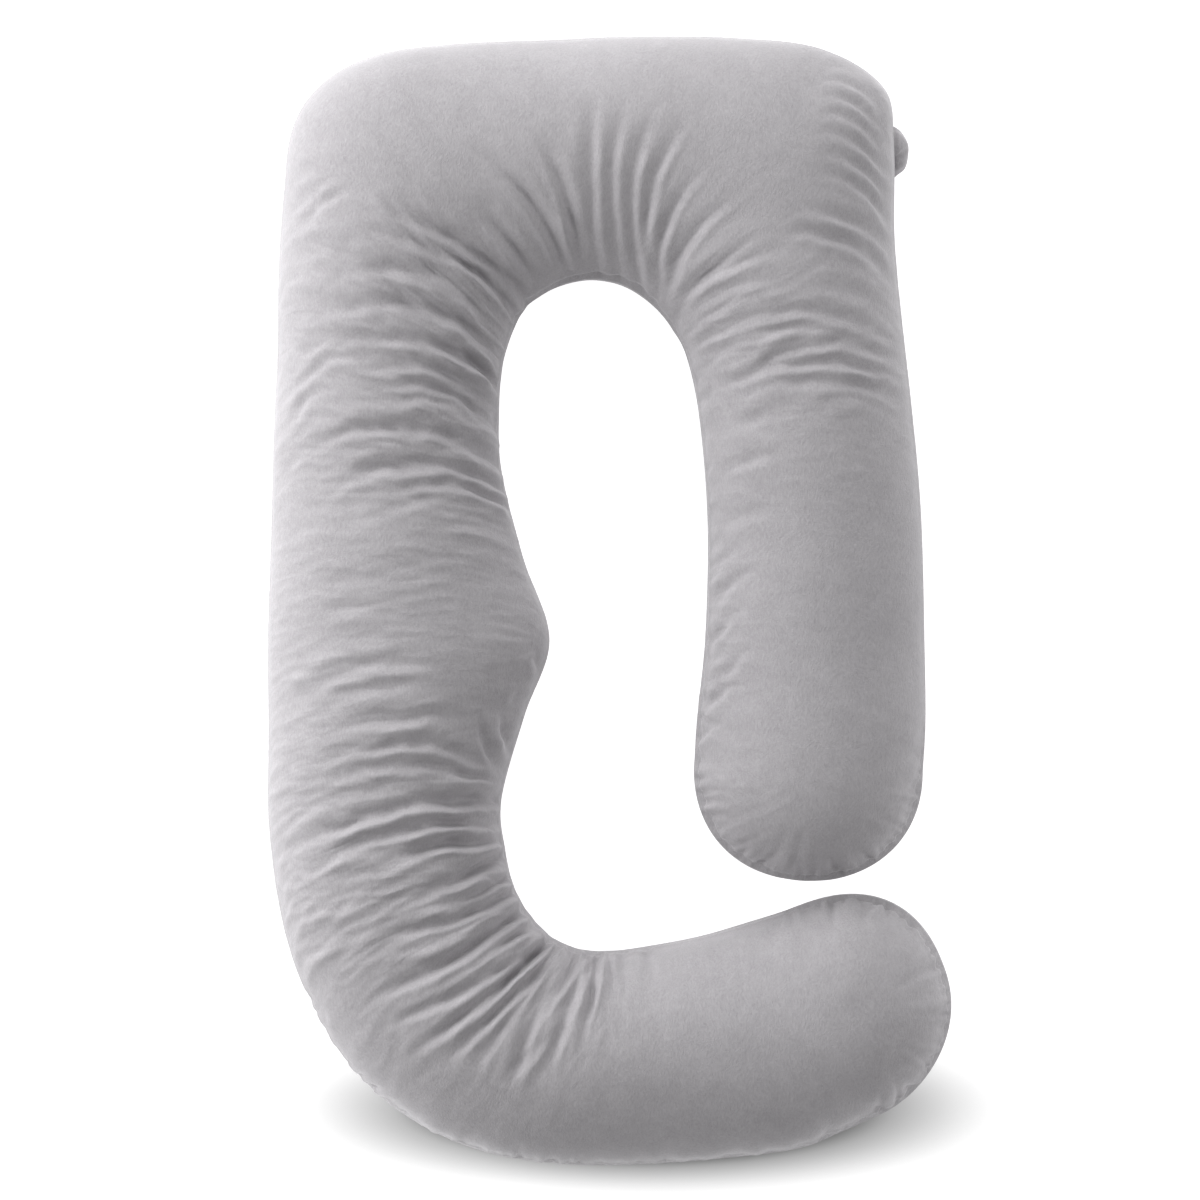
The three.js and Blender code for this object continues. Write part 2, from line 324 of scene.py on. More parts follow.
places = even_places(SIDE_COLUMNS)
rib = rib_values(places)
spine_x = (rib["outer_x"] + rib["inner_x"]) / 2
spine_y = (rib["outer_y"] + rib["inner_y"]) / 2
spine_run = np.concatenate([[0], np.cumsum(np.hypot(np.diff(spine_x), np.diff(spine_y)))])
outer = side_stations("outer")
inner = side_stations("inner")
lower_end = end_stations(
    at(outer, -1), at(inner, -1), (LOWER_END["outer_squareness"], LOWER_END["inner_squareness"]), LOWER_END)
upper_end = end_stations(
    at(inner, 0), at(outer, 0), (UPPER_END["inner_squareness"], UPPER_END["outer_squareness"]), UPPER_END)
loop = {
    name: np.concatenate([outer[name], lower_end[name], inner[name][::-1], upper_end[name]])[:, None]
    for name in outer
}
columns = len(loop["seam"])
rows = UNDER_ROWS + CROWN_ROWS

# The smooth filled form: half sections side by side all along the seam, meeting on the spine
under_share = 1 - (1 - np.linspace(0, 1, UNDER_ROWS + 1)) ** UNDER_CROWDING
crown_share = np.linspace(0, 1, CROWN_ROWS + 1) ** CROWN_CROWDING
angle = np.hstack([
    -90 + (loop["seam"] + 90) * under_share[:-1],
    loop["seam"] + (90 - loop["seam"]) * crown_share,
])
over = angle >= 0
power = 2 / np.where(over, CROWN_ROUNDNESS, UNDER_ROUNDNESS)
rise = np.where(over, loop["crown"] - WIDEST_HEIGHT, UNDER_DEPTH)
half_x = loop["edge_x"] - loop["spine_x"]
half_y = loop["edge_y"] - loop["spine_y"]
half_width = np.hypot(half_x, half_y)
outward = np.maximum(np.cos(np.radians(angle)), 0) ** power
upward = np.sign(angle) * np.abs(np.sin(np.radians(angle))) ** power
cover_x = loop["spine_x"] + half_x * outward
cover_y = loop["spine_y"] + half_y * outward
cover_z = WIDEST_HEIGHT + rise * upward
normal_out = outward ** (2 / power - 1) / half_width
normal_up = np.sign(upward) * np.abs(upward) ** (2 / power - 1) / rise
normal_size = np.hypot(normal_out, normal_up)
normal_out = normal_out / normal_size
normal_up = normal_up / normal_size
row_step = np.hypot(half_width * np.diff(outward, axis=1), np.diff(cover_z, axis=1))
row_run = np.hstack([np.zeros((columns, 1)), np.cumsum(row_step, axis=1)])
from_seam = row_run - row_run[:, UNDER_ROWS:UNDER_ROWS + 1]

# Cloth coordinates: millimetres along the tube and across it from the spine, and the share of the way out to
# the seam
from_spine = row_run[:, -1:] - row_run
along = loop["run"] + loop["ahead"] * outward
across = loop["side"] * from_spine
lateral = across / from_spine[:, UNDER_ROWS:UNDER_ROWS + 1]

# Folds of the face, by region: where each starts and ends in plan, how far it bows to its left on the way,
# its depth and its half width. A region's skew sets how far along they are deepest.
FOLDS = {
    # from x, from y, to x, to y, bow, depth, half width
    "arch_left": [
        (-78, 552, -36, 420, 6, 9, 8),
        (-165, 552, -56, 412, 15, 9, 8),
        (-160, 484, -92, 394, 4, 7, 8),
        (-275, 478, -94, 369, 14, 11, 9),
        (-210, 420, -112, 345, 16, 8, 7),
    ],
    "arch_right": [
        (-14, 412, -17, 620, 7, 5, 9),
        (16, 404, 20, 606, 15, 5, 8),
        (36, 400, 56, 600, 19, 5.5, 8),
        (45, 440, 90, 580, 14, 5, 8),
        (60, 390, 104, 516, 14, 5.5, 7),
        (72, 382, 140, 486, 11, 5, 9),
        (86, 360, 184, 444, 10, 5, 8),
    ],
    "right_shoulder": [
        (268, 662, 322, 640, 6, 4.5, 7),
        (264, 645, 334, 609, 9, 5, 7),
        (262, 622, 335, 584, 10, 6, 7),
        (262, 600, 337, 557, 10, 5.5, 7),
        (264, 576, 339, 531, 10, 6, 7),
        (264, 551, 341, 501, 10, 5.5, 7),
        (264, 526, 343, 471, 10, 5.5, 7),
    ],
    "upper_arm": [
        (232, 454, 356, 392, 14, 7, 9),
        (180, 342, 350, 322, 22, 6, 9),
        (175, 322, 295, 332, 6, 4, 9),
        (188, 292, 354, 296, 21, 8, 8),
        (148, 270, 345, 278, 18, 8, 8),
        (200, 262, 318, 258, 10, 5, 8),
        (105, 385, 215, 428, 8, 4, 8),
        (95, 352, 190, 392, 8, 4, 8),
        (100, 335, 165, 372, 5, 4, 7),
        (112, 315, 180, 345, 5, 4, 7),
        (118, 292, 170, 318, 3, 3, 7),
        (292, 267, 358, 246, 5, 4, 8),
        (155, 218, 230, 232, 0, 2.5, 9),
        (245, 480, 352, 428, 10, 5, 8),
        (255, 380, 350, 350, 8, 3, 9),
        (-135, 384, -121, 359, 0, 2.5, 6),
    ],
    "back": [
        (-335, 398, -140, 322, 40, 7, 9),
        (-335, 352, -128, 282, 44, 11, 9),
        (-335, 312, -138, 262, 34, 8, 8),
        (-205, 320, -130, 255, 10, 10, 7),
        (-290, 287, -138, 236, 21, 9, 8),
        (-278, 262, -135, 212, 22, 8, 8),
        (-388, 176, -128, 166, 42, 10, 10),
        (-338, 136, -120, 132, 34, 10, 9),
        (-268, 134, -115, 104, 20, 7, 7),
        (-395, -128, -225, -78, 19, 5.5, 10),
        (-345, -164, -190, -147, 13, 4.5, 9),
        (-345, -200, -150, -200, 24, 6, 8),
        (-335, -220, -165, -212, 14, 4.5, 8),
        (-330, -238, -215, -228, 6, 4, 8),
        (-385, -305, -112, -252, 29, 11, 9),
        (-368, -335, -135, -278, 27, 9, 8),
        (-305, -335, -108, -304, 20, 12, 8),
        (-320, 440, -215, 425, 14, 4, 9),
        (-392, 262, -300, 297, 8, 5, 7),
        (-290, 244, -170, 232, 10, 3, 8),
        (-300, 108, -205, 124, 3, 3, 9),
        (-190, 92, -125, 84, 3, 2.5, 8),
        (-365, 20, -235, 36, 0, 2.5, 14),
        (-355, -16, -255, 0, 0, 2, 12),
        (-355, -127, -245, -102, 3, 3.5, 9),
        (-190, -212, -140, -225, 5, 4, 6),
    ],
    "lower_bend": [
        (-262, -370, -116, -312, 0, 11, 8),
        (-205, -372, -103, -341, 0, 8, 6),
        (-278, -420, -82, -358, 5, 10, 7),
        (-285, -488, -61, -361, -2, 12, 8),
        (-150, -431, -68, -394, 0, 8, 6),
        (-262, -515, -50, -406, -3, 10, 7),
        (-240, -556, -72, -424, 3, 11, 7),
        (-168, -510, -41, -392, 0, 18, 5),
        (-195, -556, -91, -455, -2, 11, 7),
        (-114, -500, -49, -403, 0, 8, 6),
        (-168, -576, -113, -494, 0, 5, 8),
        (-70, -496, -29, -410, 0, 9, 6),
        (-124, -590, -72, -466, 0, 5, 7),
        (-78, -572, -37, -452, -3, 8, 7),
        (-33, -528, -8, -422, 0, 9, 5.5),
        (-30, -470, -20, -428, 0, 5, 5),
        (4, -492, 0, -440, 0, 2.5, 6),
        (-130, -593, -92, -540, 0, 4, 9),
    ],
    "belly_edge": [
        (-165, -125, -136, -208, -4, 5, 6),
        (-128, -118, -126, -182, 0, 4, 6),
        (-112, -98, -118, -152, 0, 3, 5),
        (-88, -50, -88, -100, 0, 2.5, 6),
    ],
    "upper_arm_rim": [
        (145, 164, 200, 183, 4, 4, 8),
        (145, 90, 198, 112, 2, 2.5, 8),
        (130, 48, 180, 74, 2, 2.5, 8),
        (126, -8, 180, 40, 2, 4, 7),
        (118, -56, 168, -2, 2, 4.5, 6),
        (132, -104, 178, -52, 2, 4, 7),
        (114, -138, 152, -98, 2, 3.5, 6),
    ],
    "left_rim": [
        (-402, 245, -345, 283, 6, 3, 7),
        (-402, 215, -350, 255, 6, 3, 7),
        (-402, 200, -370, 240, 4, 2, 6),
        (-400, 180, -365, 215, 4, 2.5, 6),
        (-400, 150, -360, 190, 4, 2.5, 6),
        (-395, 560, -375, 590, 2, 2, 6),
        (-395, 530, -370, 575, 3, 2, 6),
        (-388, 480, -335, 520, 5, 3, 8),
        (-385, 455, -320, 500, 5, 3.5, 8),
    ],
}
FOLD_START_ANGLE = -4.0
FOLD_FULL_ANGLE = 24.0
FOLD_FADE_POWER = 1.1
FOLD_SKEW = {
    "arch_left": 1.2,
    "arch_right": 0.7,
    "right_shoulder": 1.1,
    "upper_arm": 0.85,
    "back": 1.25,
    "lower_bend": 1.25,
    "belly_edge": 1.25,
    "upper_arm_rim": 0.85,
    "left_rim": 1.25,
}
INNER_GAIN_RIBS = (0, 14, 17, 30, 35)
INNER_GAIN = (0, 0, 0.5, 0.5, 0)
FOLD_OVERRUN = 0.12
FOLD_DEPTH_SHARE = 0.75
FOLD_WIDTH_SHARE = 0.92
FOLD_LEAN_RIBS = (0, 24, 27, 35)
FOLD_LEAN = (0.22, 0.22, 0.2, 0.2)
FOLD_WAVERS = [
    # amount, length of one waver
    (10.0, 75.0),
    (5.0, 30.0),
]
WAVER_X_SEED = 21
WAVER_Y_SEED = 22
STRENGTH_SEED = 23
FOLD_UNEVENNESS = 1.2
FOLD_LEAST = 0.1
FOLD_WAVER_RIBS = (0, 5, 7, 14, 16, 24, 27, 35)
FOLD_WAVER = (0.9, 0.9, 0.35, 0.35, 1.0, 1.0, 0.45, 0.45)
TROUGH_ROUNDNESS = 1.6
RIDGE_SHARE = 0.38
RIDGE_REACH = 1.9
RIDGE_SPREAD = 0.9
NOISE_CELLS = 128


def cloth_noise(u, v, seed):
    """Smooth noise between about -0.7 and 0.7 over the plane, with one rise or fall in each unit square."""
    headings = np.random.default_rng(seed).uniform(0, 2 * math.pi, (NOISE_CELLS, NOISE_CELLS))
    left = np.floor(u).astype(int)
    low = np.floor(v).astype(int)
    x = u - left
    y = v - low

    def corner(right, up):
        heading = headings[(left + right) % NOISE_CELLS, (low + up) % NOISE_CELLS]
        return np.cos(heading) * (x - right) + np.sin(heading) * (y - up)

    ease_x = x ** 3 * (6 * x ** 2 - 15 * x + 10)
    ease_y = y ** 3 * (6 * y ** 2 - 15 * y + 10)
    near = corner(0, 0) + (corner(1, 0) - corner(0, 0)) * ease_x
    far = corner(0, 1) + (corner(1, 1) - corner(0, 1)) * ease_x
    return near + (far - near) * ease_y


def fold_wavers():
    """Where each point reads the folds' lines, so that they waver, and how strong the folds are there."""
    place_x = cover_x
    place_y = cover_y
    strength = 1
    waver = np.interp(loop["rib"], FOLD_WAVER_RIBS, FOLD_WAVER)
    for amount, length in FOLD_WAVERS:
        place_x = place_x + amount * waver * cloth_noise(cover_x / length, cover_y / length, WAVER_X_SEED)
        place_y = place_y + amount * waver * cloth_noise(cover_x / length, cover_y / length, WAVER_Y_SEED)
        unevenness = cloth_noise(cover_x / length, cover_y / length, STRENGTH_SEED)
        strength = strength + FOLD_UNEVENNESS * waver * unevenness
    return place_x, place_y, np.maximum(strength, FOLD_LEAST)


def fold_relief(folds, skew, place_x, place_y, strength):
    """Height of the folded cloth over the smooth form: each fold is a wavering trough between two ridges."""
    relief = np.zeros_like(cover_x)
    lean = np.interp(loop["rib"], FOLD_LEAN_RIBS, FOLD_LEAN) + np.zeros_like(cover_x)
    for from_x, from_y, to_x, to_y, bow, depth, width in folds:
        run_x = to_x - from_x
        run_y = to_y - from_y
        length = math.hypot(run_x, run_y)
        share = ((place_x - from_x) * run_x + (place_y - from_y) * run_y) / length ** 2
        inside = (share > -FOLD_OVERRUN) & (share < 1 + FOLD_OVERRUN)
        way = share[inside]
        aside = ((place_y[inside] - from_y) * run_x - (place_x[inside] - from_x) * run_y) / length
        aside = aside - bow * 4 * way * (1 - way)
        reach = np.abs(aside) / (width * FOLD_WIDTH_SHARE * (1 + lean[inside] * np.sign(aside)))
        trough = np.exp(-(reach ** TROUGH_ROUNDNESS))
        ridge = RIDGE_SHARE * np.exp(-(((reach - RIDGE_REACH) / RIDGE_SPREAD) ** 2))
        way = ((way + FOLD_OVERRUN) / (1 + 2 * FOLD_OVERRUN)) ** skew
        fade = np.sin(math.pi * way) ** FOLD_FADE_POWER
        relief[inside] -= depth * FOLD_DEPTH_SHARE * strength[inside] * fade * (trough - ridge)
    return relief * (1 + np.interp(loop["rib"], INNER_GAIN_RIBS, INNER_GAIN) * np.maximum(lateral, 0))


# Fine wrinkles between the folds: creased noise drawn out across the tube, in bands from broad to fine. They
# droop towards the edges. They are strongest in zones given by rib number and share of the way to the seam.
WRINKLE_BANDS = [
    # length along the tube, length across it, height
    (36.0, 165.0, 5.0),
    (21.0, 100.0, 5.2),
    (14.0, 65.0, 2.8),
]
WRINKLE_ZONES = [
    # rib, lateral share, spread in ribs, spread in lateral share, strength
    (1.6, 0.8, 1.6, 0.3, 0.8),
    (4.9, 0.0, 1.1, 0.9, 0.6),
    (16.2, 0.5, 1.8, 0.8, 0.9),
    (17.6, -0.5, 1.5, 0.5, 0.8),
    (19.2, 0.35, 2.2, 0.9, 0.9),
    (22.0, -0.5, 1.2, 0.7, 0.35),
    (24.8, 0.35, 1.7, 0.9, 0.9),
    (24.6, -0.5, 1.9, 0.5, 0.75),
    (28.2, 0.6, 1.8, 0.8, 0.9),
    (33.0, 0.8, 1.5, 0.3, 0.4),
]
# On the right shoulder they run slantwise instead
SHOULDER_ZONE = (7.3, -0.72, 1.6, 0.38, 0.5)
SHOULDER_SLANT = math.radians(42)
WRINKLE_BASE = 0.1
WRINKLE_TOP = 1.35
WRINKLE_MEAN = 0.2
WRINKLE_SEED = 31
WRINKLE_WAVER = 1.1
WRINKLE_WAVER_SEED_STEP = 10
WRINKLE_WAVER_PITCHES = 3
WRINKLE_WAVER_LENGTHS = 0.7
WRINKLE_LEAN = 0.9
DROOP_RIBS = (0, 7, 9, 13, 16, 26, 28, 31, 35)
DROOP = (-24, -24, 0, 0, 30, 40, 14, 0, 0)
LEAN_RIBS = (0, 10, 12, 15, 35)
LEAN = (-1, -1, 0, 1, 1)


def in_zone(place, middle, rib_spread, spread, strength):
    """How wrinkled the cloth is by one zone's row: strongest in its middle and fading all round."""
    rib_way = (loop["rib"] - place) / rib_spread
    lateral_way = (lateral - middle) / spread
    return strength * np.exp(-(rib_way ** 2) - lateral_way ** 2)


def creased_noise(line, cross, lean):
    """Creased noise in bands: each valley falls gently on one side and rises steeply on the other."""
    relief = np.zeros_like(cover_x)
    for seed, (pitch, length, height) in enumerate(WRINKLE_BANDS, WRINKLE_SEED):
        waver_line = line / (WRINKLE_WAVER_PITCHES * pitch)
        waver_cross = cross / (WRINKLE_WAVER_LENGTHS * length)
        waver = WRINKLE_WAVER * cloth_noise(waver_line, waver_cross, seed + WRINKLE_WAVER_SEED_STEP)
        upright = np.abs(cloth_noise(line / pitch + waver, cross / length, seed))
        leaning = np.abs(cloth_noise(line / pitch + waver + lean * upright, cross / length, seed))
        relief += height * (leaning - WRINKLE_MEAN)
    return relief


wrinkled = np.minimum(WRINKLE_BASE + sum(in_zone(*zone) for zone in WRINKLE_ZONES), WRINKLE_TOP)
slanted = in_zone(*SHOULDER_ZONE)
drooping = along - np.interp(loop["rib"], DROOP_RIBS, DROOP) * lateral ** 2
slant_line = cover_x * math.cos(SHOULDER_SLANT) + cover_y * math.sin(SHOULDER_SLANT)
slant_cross = cover_y * math.cos(SHOULDER_SLANT) - cover_x * math.sin(SHOULDER_SLANT)
wrinkles = wrinkled * creased_noise(drooping, across, WRINKLE_LEAN * np.interp(loop["rib"], LEAN_RIBS, LEAN))
wrinkles = wrinkles + slanted * creased_noise(slant_line, slant_cross, WRINKLE_LEAN)

# One row of random draws serves the lumps of filling first and the gathers after them
DRAW_SEED = 11
draw = np.random.default_rng(DRAW_SEED)

# The seam: a groove that the stitching draws in, cloth plumped up on either side of it, and gathers across it
# that are closest round the free ends
SEAM_DRAW = 5.0
SEAM_WIDTH = 3.6
SEAM_LIP = 1.2
SEAM_LIP_REACH = 9.0
SEAM_LIP_SPREAD = 6.0
GATHER_ZONES = [
    # first and last place along the seam as side and rib, count, depth, width, length
    ("outer", 26.0, "outer", 30.5, 32, 5.5, 4.5, 36),
    ("outer", 30.5, "outer", 33.5, 20, 4.5, 4.5, 30),
    ("outer", 33.5, "inner", 34.2, 44, 4.6, 4.5, 38),
    ("inner", 31.2, "inner", 26.6, 22, 4.0, 5.0, 75),
    ("inner", 25.6, "inner", 22.6, 16, 2.8, 4.5, 45),
    ("inner", 19.5, "inner", 14.0, 16, 2.2, 5.0, 50),
    ("inner", 14.0, "inner", 7.5, 8, 1.8, 6.5, 32),
    ("inner", 7.5, "inner", 2.6, 22, 2.4, 5.0, 45),
    ("inner", 2.6, "inner", 1.0, 10, 2.4, 5.0, 45),
    ("inner", 1.0, "outer", 0.8, 58, 4.6, 4.5, 38),
]
GATHER_SPREAD = (0.6, 1.4)
GATHER_DEPTH_SPREAD = (0.4, 1.0)
GATHER_WIDENING = 60.0
GATHER_UNDER_LENGTH = 3.5
GATHER_START_ANGLE = -6.0
GATHER_FULL_ANGLE = 14.0
GATHER_SLANT = 0.15
GATHER_REACH = 45.0
GATHER_SPINE_GAP = 60.0
edge_step = np.hypot(
    np.diff(loop["edge_x"][:, 0], append=loop["edge_x"][0, 0]),
    np.diff(loop["edge_y"][:, 0], append=loop["edge_y"][0, 0]))
seam_run = np.concatenate([[0], np.cumsum(edge_step)[:-1]])
seam_length = edge_step.sum()
inner_start = SIDE_COLUMNS + END_COLUMNS - 1
side_runs = {
    "outer": seam_run[:SIDE_COLUMNS],
    "inner": seam_run[inner_start:inner_start + SIDE_COLUMNS][::-1],
}


def gather_relief():
    """Short pinched creases that run up out of the seam, and hardly under it."""
    relief = np.zeros_like(cover_x)
    for first_side, first_rib, last_side, last_rib, count, depth, width, length in GATHER_ZONES:
        first = np.interp(first_rib, places, side_runs[first_side])
        last = np.interp(last_rib, places, side_runs[last_side])
        if last < first:
            last = last + seam_length
        for number in range(count):
            place = first + (number + draw.uniform(0, 1)) * (last - first) / count
            own_width = width * draw.uniform(*GATHER_SPREAD)
            reach = length * draw.uniform(*GATHER_SPREAD)
            slant = draw.normal(0, GATHER_SLANT)
            beside = (seam_run - place + seam_length / 2) % seam_length - seam_length / 2
            near = np.abs(beside) < GATHER_REACH
            distance = from_seam[near]
            aside = beside[near][:, None] - slant * distance
            fade = np.exp(-((distance / np.where(distance > 0, reach, GATHER_UNDER_LENGTH)) ** 2))
            spread = own_width * (1 + np.maximum(distance, 0) / GATHER_WIDENING)
            deep = depth * draw.uniform(*GATHER_DEPTH_SPREAD)
            relief[near] -= deep * np.exp(-((aside / spread) ** 2)) * fade
    return relief * np.minimum(from_spine / GATHER_SPINE_GAP, 1)


# Uneven filling under the cloth: a few long low waves over the plan
LUMP_COUNT = 12
LUMP_LENGTH = (120.0, 320.0)
LUMP_HEIGHT = 0.55


def lump_relief():
    """Height of the waves over the smooth form."""
    relief = np.zeros_like(cover_x)
    for _ in range(LUMP_COUNT):
        heading = draw.uniform(0, math.pi)
        pitch = 2 * math.pi / draw.uniform(*LUMP_LENGTH)
        phase = draw.uniform(0, 2 * math.pi)
        way = cover_x * math.cos(heading) + cover_y * math.sin(heading)
        relief += LUMP_HEIGHT * np.sin(way * pitch + phase)
    return relief


# The lower panel has soft folds of its own between the widest place and the strip that lies on the floor
LOWER_FOLD_ANGLES = (-78.0, -58.0, -28.0, -14.0)
LOWER_FOLD_SHARES = (0.0, 0.7, 0.7, 0.0)
lower_share = np.interp(angle, LOWER_FOLD_ANGLES, LOWER_FOLD_SHARES)
face_share = np.clip((angle - FOLD_START_ANGLE) / (FOLD_FULL_ANGLE - FOLD_START_ANGLE), 0, 1)
face_share = face_share ** 2 * (3 - 2 * face_share)
rim_share = np.clip((angle - GATHER_START_ANGLE) / (GATHER_FULL_ANGLE - GATHER_START_ANGLE), 0, 1)
seam_relief = SEAM_LIP * np.exp(-(((np.abs(from_seam) - SEAM_LIP_REACH) / SEAM_LIP_SPREAD) ** 2))
seam_relief = seam_relief - SEAM_DRAW * np.exp(-((from_seam / SEAM_WIDTH) ** 2))
wavers = fold_wavers()
folds = wrinkles + sum(fold_relief(FOLDS[region], FOLD_SKEW[region], *wavers) for region in FOLDS)
move = face_share * (folds + lump_relief()) + lower_share * wrinkles
move = move + rim_share * gather_relief() + seam_relief


def cloth_places(height):
    """Where the cloth lies when it stands off the smooth form by the given heights."""
    outwards = height * normal_out / half_width
    lifted = np.maximum(cover_z + height * normal_up, 0)
    return cover_x + half_x * outwards, cover_y + half_y * outwards, lifted


# The cloth is cut with its folds deeper than they lie, so that it has slack for the simulation below
CUT_SLACK = 0.35
cut_x, cut_y, cut_z = cloth_places(move + CUT_SLACK * face_share * folds)
cover_x, cover_y, cover_z = cloth_places(move)

# The cover's grid, merged where its edges meet, with a vertex group for the cloth that is held as it settles
MERGE_GAP = 0.02
HELD_GROUP = 0
cover = bmesh.new()
bmesh.ops.create_grid(cover, x_segments=columns, y_segments=rows, size=0.5)
cloth_place = cover.verts.layers.float_vector.new("cloth_place")
wrinkle_share = cover.verts.layers.float.new("wrinkle_share")
slant_share = cover.verts.layers.float.new("slant_share")
cut_place = cover.verts.layers.float_vector.new("cut_place")
held = cover.verts.layers.deform.verify()
for corner in cover.verts:
    column = round((corner.co.x + 0.5) * columns) % columns
    row = round((corner.co.y + 0.5) * rows)
    corner.co = (cover_x[column, row] * MM, cover_y[column, row] * MM, cover_z[column, row] * MM)
    corner[cloth_place] = (drooping[column, row] * MM, across[column, row] * MM, 0)
    corner[wrinkle_share] = wrinkled[column, row] * (face_share[column, row] + lower_share[column, row])
    corner[slant_share] = slanted[column, row] * face_share[column, row]
    corner[cut_place] = (cut_x[column, row] * MM, cut_y[column, row] * MM, cut_z[column, row] * MM)
    corner[held][HELD_GROUP] = 1 - face_share[column, row]
bmesh.ops.remove_doubles(cover, verts=cover.verts, dist=MERGE_GAP * MM)
bmesh.ops.recalc_face_normals(cover, faces=cover.faces)
for face in cover.faces:
    face.smooth = True
pillow_mesh = bpy.data.meshes.new("plush_pillow")
cover.to_mesh(pillow_mesh)
cover.free()

PLUSH_DARK = (0.298, 0.287, 0.300, 1.0)
PLUSH_LIGHT = (0.432, 0.418, 0.434, 1.0)
PLUSH_FINISH = {
    "Specular IOR Level": 0.2,
    "Sheen Weight": 0.6,
    "Sheen Roughness": 0.4,
    "Sheen Tint": (0.92, 0.91, 0.93, 1.0),
}
PLUSH_ROUGHNESS = 0.75
BRUSHED_ROUGHNESS = 0.2
PLUSH_NOISES = {
    "drift": {"Scale": 14.0, "Detail": 2.0},
    "pile": {"Scale": 700.0, "Detail": 1.0},
    "stroke": {"Scale": 430.0, "Detail": 2.0, "Roughness": 0.6},
    "brushed": {"Scale": 34.0, "Detail": 4.0, "Roughness": 0.62, "Distortion": 0.8},
    "patch": {"Scale": 7.0, "Detail": 2.0},
    "crease": {"Scale": 1.0, "Detail": 1.0, "Roughness": 0.4, "Distortion": 0.6},
}
TONE_SHARES = {"pile": 0.5, "stroke": 1.1, "brushed": 0.7, "patch": 0.3}
TONE_DROP = 0.8
PILE_SHARES = {"pile": 0.35, "stroke": 0.65}
PILE_BUMP = {"Strength": 0.5, "Distance": 0.0016}
CREASE_BUMP = {"Strength": 1.0, "Distance": 0.0022}
CREASE_SCALE = (66.0, 13.0, 1.0)
NAP_TURN = math.radians(-35)
NAP_SCALE = (1.0, 0.42, 1.0)
NAP_DRIFT = (0.03, 0.03, 0.03)
# Places of the Mix node's sockets when it mixes colours
MIX_SHARE = 0
MIX_FROM = 6
MIX_TO = 7
MIX_COLOUR = 2


def plush_noise(shade, place, kind, output=0):
    """One of the plush's noises, read at the given place."""
    return shade.node("ShaderNodeTexNoise", {}, {"Vector": place, **PLUSH_NOISES[kind]}, output)


def fine_creases(shade, place):
    """Height of small wrinkles that run across the first axis of the given place."""
    drawn_out = shade.node("ShaderNodeMapping", {}, {"Vector": place, "Scale": CREASE_SCALE})
    return plush_noise(shade, drawn_out, "crease")


def plush_cover():
    """Short-pile plush: fine strokes of pile, patches brushed this way or that, and a sheen at the rims."""
    material, shade, output = new_material("plush_cover")
    place = shade.node("ShaderNodeTexCoord", {}, {}, "Object")
    drift = plush_noise(shade, place, "drift", "Color")
    drifted = shade.node("ShaderNodeVectorMath", {"operation": "MULTIPLY_ADD"}, {
        0: drift, 1: NAP_DRIFT, 2: place})
    nap = shade.node("ShaderNodeMapping", {}, {
        "Vector": drifted, "Rotation": (0.0, 0.0, NAP_TURN), "Scale": NAP_SCALE})
    noises = {
        "pile": plush_noise(shade, place, "pile"),
        "stroke": plush_noise(shade, nap, "stroke"),
        "brushed": plush_noise(shade, place, "brushed"),
        "patch": plush_noise(shade, place, "patch"),
    }
    tone = sum(noises[kind] * share for kind, share in TONE_SHARES.items()) - TONE_DROP
    colour = shade.node("ShaderNodeMix", {"data_type": "RGBA"}, {
        MIX_SHARE: tone, MIX_FROM: PLUSH_DARK, MIX_TO: PLUSH_LIGHT}, MIX_COLOUR)
    height = sum(noises[kind] * share for kind, share in PILE_SHARES.items())
    cloth = shade.node("ShaderNodeAttribute", {"attribute_name": "cloth_place"}, {}, "Vector")
    wrinkle = shade.node("ShaderNodeAttribute", {"attribute_name": "wrinkle_share"}, {}, "Fac")
    slant = shade.node("ShaderNodeAttribute", {"attribute_name": "slant_share"}, {}, "Fac")
    slanting = shade.node("ShaderNodeMapping", {}, {"Vector": place, "Rotation": (0.0, 0.0, -SHOULDER_SLANT)})
    creases = fine_creases(shade, cloth) * wrinkle + fine_creases(shade, slanting) * slant
    creased = shade.node("ShaderNodeBump", {}, {"Height": creases, **CREASE_BUMP})
    bump = shade.node("ShaderNodeBump", {}, {"Height": height, "Normal": creased, **PILE_BUMP})
    finish = shade.node("ShaderNodeBsdfPrincipled", {}, {
        "Base Color": colour,
        "Roughness": noises["brushed"] * BRUSHED_ROUGHNESS + PLUSH_ROUGHNESS,
        "Normal": bump,
        **PLUSH_FINISH,
    })
    shade.tree.links.new(finish.socket, output.inputs["Surface"])
    return material


plush = plush_cover()
pillow_mesh.materials.append(plush)
pillow = place_object("plush_pillow", pillow_mesh)
pillow.vertex_groups.new(name="held")

# The cover settles round its filling, which presses it outwards, while the underside and the seam are held
SETTLE_FRAMES = 12
SETTLE_QUALITY = 3
FILLING_PRESSURE = 2.0
SETTLE_CAP = 6.0


